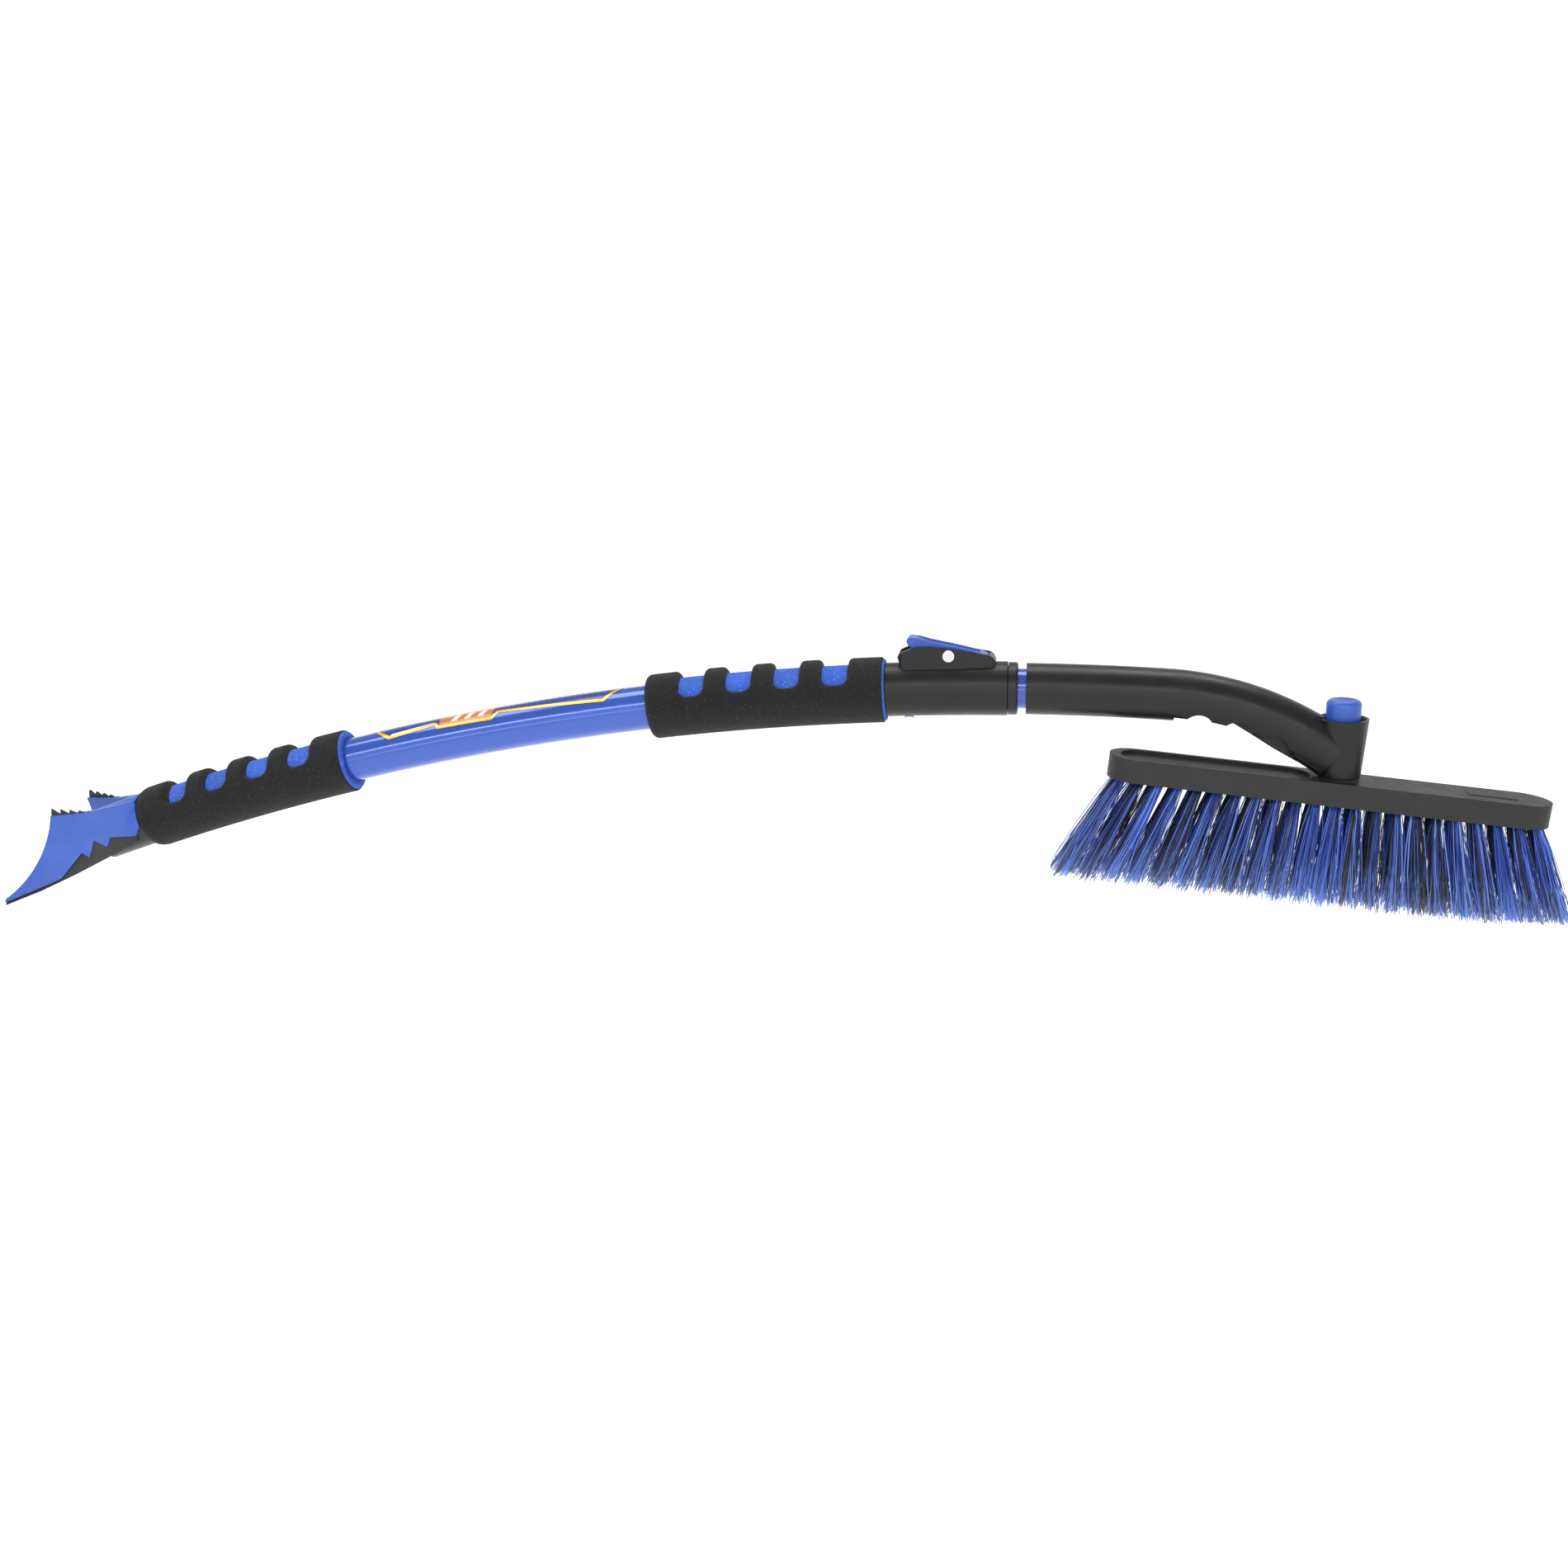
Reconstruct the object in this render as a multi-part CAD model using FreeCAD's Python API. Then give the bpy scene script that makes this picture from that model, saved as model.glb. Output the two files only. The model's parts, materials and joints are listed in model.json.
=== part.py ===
"""Telescoping snow brush with an ice scraper, as separate solids in one frame.

The tool rests on its scraper edge and on the outer corner of its bristles.
+X runs from the scraper towards the brush, +Y across the tool, +Z up.
The origin is under the middle of the tool, on the surface that it rests on.
The handle follows one large arc in the XZ plane, so the inner tube slides by
turning about that arc's far centre. All lengths are millimetres.
"""
import FreeCAD, Part
import math
import os

from FreeCAD import Placement, Rotation, Vector

# ---- driving dimensions -------------------------------------------------
HALF_LENGTH = 443.4          # half of the closed tool's length along X
ARC_RADIUS = 1580.0          # the handle's centre line
APEX_X = 135.9               # highest point of that line
APEX_Z = 125.2
TRAVEL = 380.0               # how far the inner tube pulls out, along the arc
FIT = 0.1                    # running clearance of a pin in its hole
GAP = 0.35                   # clearance between faces that slide past each other

OUTER_TUBE_R = 12.7
OUTER_TUBE_BORE = 11.5
INNER_TUBE_R = 11.1
INNER_TUBE_BORE = 9.9

# stations: lengths along the arc, measured from its apex, positive to the brush
TUBE_START = -531.0
TUBE_END = -2.0
INNER_START = -430.0
INNER_END = 72.0
GRIP_LENGTH = 135.0
LOWER_GRIP_START = -518.0
UPPER_GRIP_START = -199.4
GRIP_R = 18.3
GRIP_CORE_R = 14.6
GRIP_CORE_SHOWS = 1.1        # length of core left bare at the grip's right end
GRIP_FLANGE_R = 17.3         # the core's flange there, nearly as wide as the cover
GRIP_END_ROUND = 2.4
NOTCH_COUNT = 4
NOTCH_WIDTH = 13.0
NOTCH_PITCH = 27.0

DECAL_START = -366.0
DECAL_END = -212.0
DECAL_THICK = 0.15
DECAL_HALF_ANGLE = 52.0

COLLAR_START = -64.2
COLLAR_END = 5.0
COLLAR_R = 15.0
END_RING_END = 8.7
END_RING_R = 14.6

PIVOT_STATION = -29.0        # the lock lever's pivot
PIVOT_HEIGHT = 19.4          # above the handle's centre line
LEVER_PIN_R = 1.5
HOUSING_WIDTH = 17.0
SLOT_WIDTH = 12.0
LEVER_WIDTH = 11.2
LATCH_X = 18.0               # the latch pin, ahead of the lever's pivot
LATCH_R = 2.0
LATCH_HOLE_R = 3.3           # leaves room for the pin's swing
LOCK_HOLE_R = 2.4
LOCK_STOPS = 5

ARM_START = 13.2
ARM_R = 14.2
ARM_WALL = 3.0
BEND_X = 225.0               # where the arm leaves the handle's arc
BEND_RADIUS = 170.0
BEND_END_ANGLE = 36.0        # slope of the arm's line inside the socket

SPINDLE_X = 319.2            # the brush head's pivot, at the block's top face
SPINDLE_LEAN = 1.0           # degrees, top towards +X
CUP_BASE = 1.4               # the cup's foot clears the block's tilted top
CUP_HEIGHT = 33.5
CUP_TOP_R = 13.8
CUP_BASE_R = 11.3
CUP_FLOOR = 9.0
SPINDLE_R = 5.0

BLOCK_TILT = 6.0             # degrees, falling towards +X
BLOCK_LEFT = 195.5
BLOCK_RIGHT = 431.5
BLOCK_WIDTH = 31.0
BLOCK_THICK = 13.0
BLOCK_TOP_AT_SPINDLE = 77.0
BLOCK_PAD = (26.0, 10.0, 0.3)    # low plain pad on the block's right top
BLOCK_PAD_CENTRE = 81.0
TUFTS_PER_ROW = 22
TUFT_ROWS = {"tuft_row_near": -9.5, "tuft_row_middle": 0.0, "tuft_row_far": 9.5}
TUFT_SPLAY = 25.0            # degrees, outwards at each end of the block
TRIM_TILT = 5.4

# ---- the handle's arc ----------------------------------------------------
ARC_CENTRE = Vector(APEX_X, 0, APEX_Z - ARC_RADIUS)
ACROSS = Vector(0, 1, 0)


def at_station(station):
    """Frame on the arc: local X along the handle, local Z away from the arc's centre."""
    angle = math.degrees(station / ARC_RADIUS)
    turn = Rotation(ACROSS, angle)
    return Placement(ARC_CENTRE + turn.multVec(Vector(0, 0, ARC_RADIUS)), turn)


def arc_station(x):
    """Station of the point of the arc that has this X."""
    return ARC_RADIUS * math.asin((x - APEX_X) / ARC_RADIUS)


def placed(shape, placement):
    """The shape, moved from a local frame into the tool's frame."""
    moved = shape.copy()
    moved.Placement = placement.multiply(moved.Placement)
    return moved


def along_arc(face, start, end):
    """Solid swept by a face, drawn in the local frame, between two stations."""
    section = placed(face, at_station(start))
    return section.revolve(ARC_CENTRE, ACROSS, math.degrees((end - start) / ARC_RADIUS))


def disc(radius, bore=0.0):
    """Round face across the local X axis."""
    normal = Vector(1, 0, 0)
    rings = [Part.Wire(Part.makeCircle(radius, Vector(0, 0, 0), normal))]
    if bore:
        rings.append(Part.Wire(Part.makeCircle(bore, Vector(0, 0, 0), normal)))
    outer = Part.Face(rings[0])
    return outer.cut(Part.Face(rings[1])).Faces[0] if bore else outer


def tube(start, end, radius, bore=0.0):
    """Tube or rod that follows the handle's arc."""
    return along_arc(disc(radius, bore), start, end)


def rod(base, direction, radius, length):
    """Cylinder from a point, along a direction."""
    return Part.makeCylinder(radius, length, base, direction)


def cross_rod(x, z, radius, width):
    """Cylinder across the tool, centred on Y = 0."""
    return rod(Vector(x, -width / 2, z), ACROSS, radius, width)


def plate(points, width, offset=0.0):
    """Outline in the XZ plane, extruded evenly to both sides of Y = offset."""
    corners = [Vector(x, offset - width / 2, z) for x, z in points]
    return Part.Face(Part.makePolygon(corners + corners[:1])).extrude(Vector(0, width, 0))


def box(x, y, z):
    """Box from three (low, high) pairs."""
    size = [high - low for low, high in (x, y, z)]
    return Part.makeBox(*size, Vector(x[0], y[0], z[0]))


def coil(radius, wire_r, height, turns):
    """Compression spring standing on local Z = 0."""
    rise = height - 2 * wire_r
    helix = Part.makeHelix(rise / turns, rise, radius)
    start = Part.makeCircle(wire_r, Vector(radius, 0, 0), Vector(0, 1, 0))
    sweep = Part.Wire(helix).makePipeShell([Part.Wire(start)], True, True)
    sweep.translate(Vector(0, 0, wire_r))
    return sweep


# ---- tubes, grips and decal ----------------------------------------------
def outer_tube():
    shape = tube(TUBE_START, TUBE_END, OUTER_TUBE_R, OUTER_TUBE_BORE)
    shape = shape.cut(latch_hole(LATCH_HOLE_R))
    return shape.cut(collar_screw_hole()).cut(scraper_pin())


def latch_hole(radius):
    """Hole through the wall of the handle, below the latch pin."""
    hole = rod(Vector(LATCH_X, 0, 0), Vector(0, 0, 1), radius, 2 * COLLAR_R)
    return placed(hole, at_station(PIVOT_STATION))


def inner_tube():
    shape = tube(INNER_START, INNER_END, INNER_TUBE_R, INNER_TUBE_BORE)
    for stop in range(LOCK_STOPS):
        station = PIVOT_STATION + LATCH_X - stop * TRAVEL / (LOCK_STOPS - 1)
        hole = rod(Vector(0, 0, 0), Vector(0, 0, 1), LOCK_HOLE_R, 2 * INNER_TUBE_R)
        shape = shape.cut(placed(hole, at_station(station)))
    return shape.cut(arm_pin())


def inner_tube_bush():
    """Plug with a collar that keeps the inner tube's hidden end centred."""
    collar = tube(INNER_START - 8, INNER_START, OUTER_TUBE_BORE - 2 * FIT, 7.5)
    return collar.fuse(tube(INNER_START, INNER_START + 12, INNER_TUBE_BORE, 7.5))


def grip_core(start):
    """Blue foam sleeve under the cover, with a flange at its bare end."""
    if start == LOWER_GRIP_START:
        start += SLEEVE_UNDER_GRIP
        end = LOWER_GRIP_START + GRIP_LENGTH
    else:
        end = start + GRIP_LENGTH
    flange = tube(end - GRIP_CORE_SHOWS, end, GRIP_FLANGE_R, OUTER_TUBE_R)
    return tube(start, end, GRIP_CORE_R, OUTER_TUBE_R).fuse(flange)


def grip_cover(start):
    """Foam sleeve with finger notches along its top."""
    end = start + GRIP_LENGTH - GRIP_CORE_SHOWS
    shape = tube(start, end, GRIP_R, GRIP_CORE_R)
    rims = [edge for edge in shape.Edges if is_rim(edge, GRIP_R)]
    shape = shape.makeFillet(GRIP_END_ROUND, rims)
    middle = (start + end) / 2
    for index in range(NOTCH_COUNT):
        station = middle + (index - (NOTCH_COUNT - 1) / 2) * NOTCH_PITCH
        shape = shape.cut(placed(notch(), at_station(station)))
    return shape


def is_rim(edge, radius):
    curve = edge.Curve
    return isinstance(curve, Part.Circle) and abs(curve.Radius - radius) < 0.01


def notch():
    """Window across the top of the foam, with rounded corners, down to its core."""
    floor = 7.0
    cutter = box((-NOTCH_WIDTH / 2, NOTCH_WIDTH / 2), (-GRIP_R, GRIP_R), (floor, GRIP_R + 1))
    corners = [edge for edge in cutter.Edges if is_low_cross_edge(edge, floor)]
    return cutter.makeFillet(NOTCH_WIDTH / 3, corners)


def is_low_cross_edge(edge, floor):
    ends = [vertex.Point for vertex in edge.Vertexes]
    return all(abs(end.z - floor) < 0.01 for end in ends) and abs(ends[0].y - ends[1].y) > 1


def tube_decal():
    """Printed foil over the top of the bare tube."""
    shell = tube(DECAL_START, DECAL_END, OUTER_TUBE_R + DECAL_THICK, OUTER_TUBE_R)
    reach = 2 * OUTER_TUBE_R
    side = reach * math.sin(math.radians(DECAL_HALF_ANGLE))
    rise = reach * math.cos(math.radians(DECAL_HALF_ANGLE))
    corners = [Vector(0, 0, 0), Vector(0, -side, rise), Vector(0, -side, reach),
               Vector(0, side, reach), Vector(0, side, rise)]
    wedge = Part.Face(Part.makePolygon(corners + corners[:1]))
    return shell.common(along_arc(wedge, DECAL_START, DECAL_END))


# ---- scraper --------------------------------------------------------------
SCRAPER_WALL = 5.0
COVER_THICK = 1.4
SLEEVE_R = 15.0
SLEEVE_UNDER_GRIP = 22.0
SLEEVE_END = LOWER_GRIP_START + SLEEVE_UNDER_GRIP
SHOULDER = LOWER_GRIP_START - 0.4
SCRAPER_PIN_STATION = -507.0
# X, half width at the foot, height of the foot, half width and height of the ridge,
# half width and height of the trough's floor
SCRAPER_SECTIONS = [
    (-HALF_LENGTH, 52.0, 0.0, 26.5, 46.5, 44.0, 1.2),
    (-423.0, 46.0, 7.6, 24.0, 47.8, 33.0, 12.0),
    (-405.0, 36.5, 15.6, 19.5, 48.8, 16.0, 25.0),
    (-388.0, 25.0, 24.0, 14.5, 52.0, 5.5, 41.0),
    (-376.0, 16.5, 30.5, 10.5, 55.0, 2.0, 53.0),
]


def scraper_section(row, inset):
    """Trough-shaped outline across the scraper; inset thins it on every covered side."""
    x, foot, foot_z, ridge, ridge_z, floor, floor_z = row
    inner = ridge - SCRAPER_WALL
    floor_inset = inset if floor_z - foot_z > 15 else 0.0
    half = [
        (foot - inset, foot_z),
        (ridge - inset, ridge_z - inset),
        (inner + inset, ridge_z - inset),
        (floor + inset, floor_z - floor_inset),
    ]
    outline = [Vector(x, -y, z) for y, z in half] + [Vector(x, y, z) for y, z in reversed(half)]
    return Part.makePolygon(outline + outline[:1])


def scraper_trough(inset):
    wires = [scraper_section(row, inset) for row in SCRAPER_SECTIONS]
    return Part.makeLoft(wires, True, True).cut(tube(SHOULDER, SHOULDER + 40, 80))


def scraper_neck(inset):
    """Round shank from the trough into the lower grip."""
    start = arc_station(-402.0)
    return tube(start, SHOULDER, SLEEVE_R + 1.4 - inset)


def front_cutter():
    """Everything in front of the side walls' hollow leading edge."""
    low = Vector(-HALF_LENGTH - 0.2, 0, 3.6)
    middle = Vector(-430.5, 0, 17.5)
    high = Vector(-424.5, 0, 49.0)
    curve = Part.Arc(low, middle, high).toShape()
    corners = [high, Vector(-424.5, 0, 80), Vector(-480, 0, 80), Vector(-480, 0, 3.6), low]
    rest = Part.makePolygon(corners)
    face = Part.Face(Part.Wire([curve] + rest.Edges))
    face.translate(Vector(0, -80, 0))
    return face.extrude(Vector(0, 160, 0))


def cover_zone():
    """Side view of the part of the scraper that the blue cover reaches."""
    lower_edge = [(-450.0, -0.8), (-413.0, 13.6), (-403.7, 27.0), (-399.3, 24.2), (-397.8, 33.3),
                  (-390.5, 29.2), (-389.4, 34.4), (-376.5, 34.0), (-372.0, 42.0)]
    upper = [(-366.0, 80.0), (-450.0, 80.0)]
    return plate(lower_edge + upper, 160)


def chipper_teeth():
    """Two serrated strips that lean out of the ridges, tallest in front."""
    teeth = None
    for side in (-1, 1):
        line_start = Vector(-424.2, side * 23.0, 42.6)
        line_end = Vector(-399.0, side * 16.8, 45.7)
        step = (line_end - line_start) / CHIPPER_COUNT
        for index in range(CHIPPER_COUNT):
            height = CHIPPER_HEIGHT - CHIPPER_DROP * index
            foot = line_start + step * index
            back = foot + step * CHIPPER_OVERLAP
            corners = [foot, back, back + Vector(0, 0, height * CHIPPER_GAP),
                       foot + step * 0.08 + Vector(0, 0, height)]
            face = Part.Face(Part.makePolygon(corners + corners[:1]))
            across = step.cross(Vector(0, 0, 1)).normalize() * CHIPPER_THICK
            tooth = face.extrude(across)
            tooth.translate(across * -0.5)
            teeth = teeth.fuse(tooth) if teeth else tooth
    return teeth


CHIPPER_COUNT = 5
CHIPPER_THICK = 2.0
CHIPPER_HEIGHT = 9.2         # of the front tooth
CHIPPER_DROP = 1.2           # from one tooth to the next
CHIPPER_OVERLAP = 1.03
CHIPPER_GAP = 0.55           # height of the strip between teeth, as a share of the tooth's


def scraper_bore():
    return tube(TUBE_START - 0.3, SLEEVE_END + 1, OUTER_TUBE_R)


def scraper_core():
    """Black core: trough, shank and the sleeve that takes the tube's end."""
    core = scraper_trough(COVER_THICK).cut(front_cutter())
    core = core.fuse(scraper_neck(COVER_THICK))
    core = core.fuse(chipper_teeth())
    return core.fuse(tube(SHOULDER - 0.1, SLEEVE_END, GRIP_CORE_R))


def scraper_body():
    return scraper_core().cut(scraper_bore()).cut(scraper_pin())


def scraper_cover():
    envelope = scraper_trough(0).cut(front_cutter()).fuse(scraper_neck(0))
    return envelope.cut(scraper_core()).cut(scraper_bore()).common(cover_zone())


def scraper_pin():
    """Cross pin that holds the scraper on the tube, hidden under the foam."""
    pin = cross_rod(0, 0, 2.0, 2 * GRIP_CORE_R - 0.6)
    return placed(pin, at_station(SCRAPER_PIN_STATION))


# ---- telescoping lock -------------------------------------------------------
def housing():
    """Raised lever housing on top of the collar, in the pivot's frame."""
    side = [(-25.0, 8.0), (-28.3, 19.0), (-27.2, 21.2), (-24.5, 22.3), (-21.4, 23.6), (-17.5, 24.4),
            (-12.8, 24.6), (0.0, 23.4), (22.5, 19.6), (24.6, 18.0), (25.8, 15.6), (22.5, 8.0)]
    slab = plate(side, HOUSING_WIDTH)
    nose = 7.4
    half = HOUSING_WIDTH / 2
    plan = [(-26.0, -half), (4.0, -half), (24.0, -nose), (26.5, -nose + 2), (26.5, nose - 2),
            (24.0, nose), (4.0, half), (-26.0, half), (-29.0, half - 3), (-29.0, 3 - half)]
    corners = [Vector(x, y, 0) for x, y in plan]
    prism = Part.Face(Part.makePolygon(corners + corners[:1])).extrude(Vector(0, 0, 40))
    return slab.common(prism)


def lever_slot():
    """Slot between the housing's cheeks, open at the top and over the end lip."""
    return box((-24.6, 22.4), (-SLOT_WIDTH / 2, SLOT_WIDTH / 2), (COLLAR_R + 0.3, 40)).fuse(
        box((-30.0, -20.0), (-SLOT_WIDTH / 2, SLOT_WIDTH / 2), (19.2, 40)))


def lock_collar():
    here = at_station(PIVOT_STATION)
    shape = tube(COLLAR_START, COLLAR_END, COLLAR_R)
    shape = shape.fuse(placed(housing(), here))
    shape = shape.cut(placed(lever_slot(), here))
    shape = shape.cut(tube(COLLAR_START - 1, TUBE_END, OUTER_TUBE_R))
    shape = shape.cut(tube(TUBE_END - 1, COLLAR_END + 1, INNER_TUBE_R + GAP))
    shape = shape.cut(tube(COLLAR_END - 2.0, COLLAR_END + 1, COLLAR_R + 1, END_RING_R - 2.0))
    shape = shape.cut(latch_hole(LATCH_HOLE_R))
    shape = shape.cut(placed(cross_rod(0, PIVOT_HEIGHT, LEVER_PIN_R, 40), here))
    return shape.cut(collar_screw_hole())


def collar_end_ring():
    """Trim ring snapped over the collar's spigot, rounded at its outer corner."""
    bore = INNER_TUBE_R + GAP
    lip = END_RING_R - 2.0
    length = END_RING_END - COLLAR_END
    round_r = 1.4
    outline = [(-1.6, lip), (0.6, lip), (0.6, bore), (length, bore), (length, END_RING_R - round_r)]
    corner = Part.Arc(Vector(length, 0, END_RING_R - round_r),
                      Vector(length - 0.3 * round_r, 0, END_RING_R - 0.3 * round_r),
                      Vector(length - round_r, 0, END_RING_R)).toShape()
    closing = [(length - round_r, END_RING_R), (-1.6, END_RING_R), (-1.6, lip)]
    edges = Part.makePolygon([Vector(x, 0, z) for x, z in outline]).Edges + [corner]
    edges += Part.makePolygon([Vector(x, 0, z) for x, z in closing]).Edges
    ring = Part.Face(Part.Wire(edges)).revolve(Vector(0, 0, 0), Vector(1, 0, 0), 360)
    return placed(ring, at_station(COLLAR_END))


def collar_screw_hole():
    hole = rod(Vector(0, 0, -COLLAR_R - 2), Vector(0, 0, 1), 1.5, 5.6)
    return placed(hole, at_station(COLLAR_SCREW_STATION))


COLLAR_SCREW_STATION = -52.0


def collar_screw():
    """Short screw under the collar that pins it to the outer tube."""
    shank = rod(Vector(0, 0, -COLLAR_R), Vector(0, 0, 1), 1.5, 3.4)
    head = rod(Vector(0, 0, -COLLAR_R - 1.4), Vector(0, 0, 1), 2.9, 1.4)
    head = head.cut(box((-2.2, 2.2), (-0.4, 0.4), (-COLLAR_R - 2, -COLLAR_R - 0.7)))
    return placed(shank.fuse(head), at_station(COLLAR_SCREW_STATION))


def lock_lever():
    """Rocking lever: raised thumb tab at the left, tapered nose at the right."""
    side = [(-23.2, 27.6), (-22.6, 29.0), (-21.0, 29.6), (-16.6, 29.2), (-11.0, 27.4), (3.4, 24.2),
            (18.3, 20.4), (21.8, 18.9), (21.8, 16.4), (-7.5, 16.9), (-12.0, 19.6), (-19.0, 22.6),
            (-22.4, 25.4)]
    shape = plate(side, LEVER_WIDTH)
    dish = [(-17.0, 40.0), (-17.0, 29.0), (-11.0, 26.5), (3.4, 23.3), (17.0, 19.9), (20.0, 40.0)]
    shape = shape.cut(plate(dish, LEVER_WIDTH - 3.0))
    shape = shape.cut(cross_rod(0, PIVOT_HEIGHT, LEVER_PIN_R + FIT, 40))
    shape = shape.cut(rod(Vector(LATCH_X, 0, 0), Vector(0, 0, 1), LATCH_R, LATCH_TOP))
    return placed(shape, at_station(PIVOT_STATION))


LATCH_TOP = 19.0


def latch_pin():
    """Steel pin moulded into the lever's nose, above the inner tube's holes."""
    tip = INNER_TUBE_R + GAP
    pin = rod(Vector(LATCH_X, 0, tip), Vector(0, 0, 1), LATCH_R, LATCH_TOP - tip)
    return placed(pin, at_station(PIVOT_STATION))


def lever_pin():
    """Steel rivet with a domed head at each side of the housing."""
    width = HOUSING_WIDTH
    shape = cross_rod(0, PIVOT_HEIGHT, LEVER_PIN_R, width)
    for side in (-1, 1):
        base = Vector(0, side * width / 2, PIVOT_HEIGHT)
        head = rod(base, Vector(0, side, 0), 3.4, 1.1)
        rim = [edge for edge in head.Edges if abs(edge.BoundBox.Center.y) > width / 2 + 1]
        shape = shape.fuse(head.makeFillet(0.7, rim))
    return placed(shape, at_station(PIVOT_STATION))


def lever_spring():
    """Spring under the thumb tab."""
    spring = coil(2.2, 0.35, 5.3, 4)
    spring.translate(Vector(-16.5, 0, COLLAR_R + 0.3))
    return placed(spring, at_station(PIVOT_STATION))


# ---- brush arm ---------------------------------------------------------------
BEND_STATION = arc_station(BEND_X)
BEND_START_ANGLE = math.degrees(BEND_STATION / ARC_RADIUS)
CHANNEL_HALF = 9.0
RIB_THICK = 2.6
FLANK_CREASE = (14.1, -1.5)  # half width and height of the crease on the arm's side
FLANK_LOWER = (8.6, -11.0)   # where the flat flank ends, at the channel's lip
FLANK_DEPTH = 1.3
FLANK_START = 4.0            # bend angles between which the flank grows to its full depth
FLANK_FULL = 12.0


def bend_centre():
    turn = Rotation(ACROSS, BEND_START_ANGLE)
    return ARC_CENTRE + turn.multVec(Vector(0, 0, ARC_RADIUS - BEND_RADIUS))


def at_bend(angle):
    """Frame on the arm's bend, where its centre line slopes down by this angle."""
    turn = Rotation(ACROSS, angle)
    return Placement(bend_centre() + turn.multVec(Vector(0, 0, BEND_RADIUS)), turn)


def along_bend(face, start, end):
    return placed(face, at_bend(start)).revolve(bend_centre(), ACROSS, end - start)


def cross_face(points):
    """Face across the local X axis from (Y, Z) corners."""
    corners = [Vector(0, y, z) for y, z in points]
    return Part.Face(Part.makePolygon(corners + corners[:1]))


def at_spindle(height=0.0):
    """Frame on the brush head's pivot axis, above the block's top face."""
    turn = Rotation(ACROSS, SPINDLE_LEAN)
    base = Vector(SPINDLE_X, 0, BLOCK_TOP_AT_SPINDLE)
    return Placement(base + turn.multVec(Vector(0, 0, height)), turn)


def finger_scallops():
    """Three rounded cuts along the arm's lower edge."""
    cuts = None
    for angle, depth, radius in ((10.0, 15.4, 8.0), (17.8, 14.6, 8.4), (25.4, 14.2, 8.4)):
        cut = placed(cross_rod(0, -depth, radius, 60), at_bend(angle))
        cuts = cuts.fuse(cut) if cuts else cut
    return cuts


def flank_outline(side, angle, inset):
    """Outline of what is cut off one flank; the crease is its upper inner corner."""
    crease = Vector(0, side * (FLANK_CREASE[0] + FLANK_DEPTH - inset), FLANK_CREASE[1])
    lower = Vector(0, side * (FLANK_LOWER[0] + FLANK_DEPTH - inset), FLANK_LOWER[1])
    far = 2 * ARM_R
    corners = [crease, lower, Vector(0, lower.y, -far), Vector(0, side * far, -far),
               Vector(0, side * far, crease.z)]
    return placed(Part.makePolygon(corners + corners[:1]), at_bend(angle))


def flank_cuts():
    """Flat flanks under a crease on both sides of the bend, fading in at the top."""
    cuts = None
    for side in (-1, 1):
        fade = Part.makeLoft([flank_outline(side, FLANK_START, 0.0),
                              flank_outline(side, FLANK_FULL, FLANK_DEPTH)], True, True)
        full = Part.Face(Part.Wire(flank_outline(side, FLANK_FULL, FLANK_DEPTH).Edges))
        full = full.revolve(bend_centre(), ACROSS, BEND_END_ANGLE - FLANK_FULL)
        cut = fade.fuse(full)
        cuts = cuts.fuse(cut) if cuts else cut
    return cuts


def arm_rib():
    """Stiffening rib down the middle of the hollow arm."""
    outline = [(260.0, 108.0), (272.0, 100.6), (283.0, 93.6), (296.0, 86.2), (303.5, 83.4),
               (305.0, 100.0), (285.0, 118.0), (258.0, 126.0)]
    rib = plate(outline, RIB_THICK)
    return rib.common(along_bend(disc(ARM_R + 1.5), BEND_START_ANGLE, BEND_END_ANGLE))


def brush_arm():
    straight = tube(ARM_START, BEND_STATION, ARM_R)
    bend = along_bend(disc(ARM_R), BEND_START_ANGLE, BEND_END_ANGLE)
    shape = straight.fuse(bend)
    hollow_start, hollow_end = 5.0, 29.5
    hollow = along_bend(disc(ARM_R - ARM_WALL), hollow_start, hollow_end)
    slot = cross_face([(-CHANNEL_HALF, -2 * ARM_R), (CHANNEL_HALF, -2 * ARM_R),
                       (CHANNEL_HALF, 0), (-CHANNEL_HALF, 0)])
    shape = shape.cut(hollow).cut(along_bend(slot, hollow_start, hollow_end))
    shape = shape.cut(finger_scallops()).cut(flank_cuts())
    shape = shape.fuse(arm_rib())
    shape = shape.fuse(placed(cup_outside(), at_spindle()))
    shape = shape.cut(placed(cup_inside(), at_spindle()))
    shape = shape.cut(tube(ARM_START - 1, INNER_END, INNER_TUBE_R))
    return shape.cut(arm_pin())


def cup_outside():
    return Part.makeCone(CUP_BASE_R, CUP_TOP_R, CUP_HEIGHT - CUP_BASE, Vector(0, 0, CUP_BASE))


def cup_inside():
    """Bore for the button, with a wider mouth, and the spindle's hole."""
    bore = rod(Vector(0, 0, CUP_FLOOR), Vector(0, 0, 1), BUTTON_BORE, CUP_HEIGHT)
    mouth = Part.makeCone(BUTTON_BORE, CUP_TOP_R - 1.4, 8.0, Vector(0, 0, CUP_HEIGHT - 8.0))
    hole = rod(Vector(0, 0, -1), Vector(0, 0, 1), SPINDLE_R + FIT, CUP_FLOOR + 2)
    below = rod(Vector(0, 0, -20), Vector(0, 0, 1), CUP_TOP_R + 6, 20 + CUP_BASE)
    return bore.fuse(mouth).fuse(hole).fuse(below)


BUTTON_BORE = 9.7


def arm_pin():
    """Cross pin that fixes the arm on the inner tube."""
    pin = cross_rod(0, 0, 2.0, 2 * ARM_R - 1.0)
    return placed(pin, at_station(ARM_PIN_STATION))


ARM_PIN_STATION = 40.0

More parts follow.
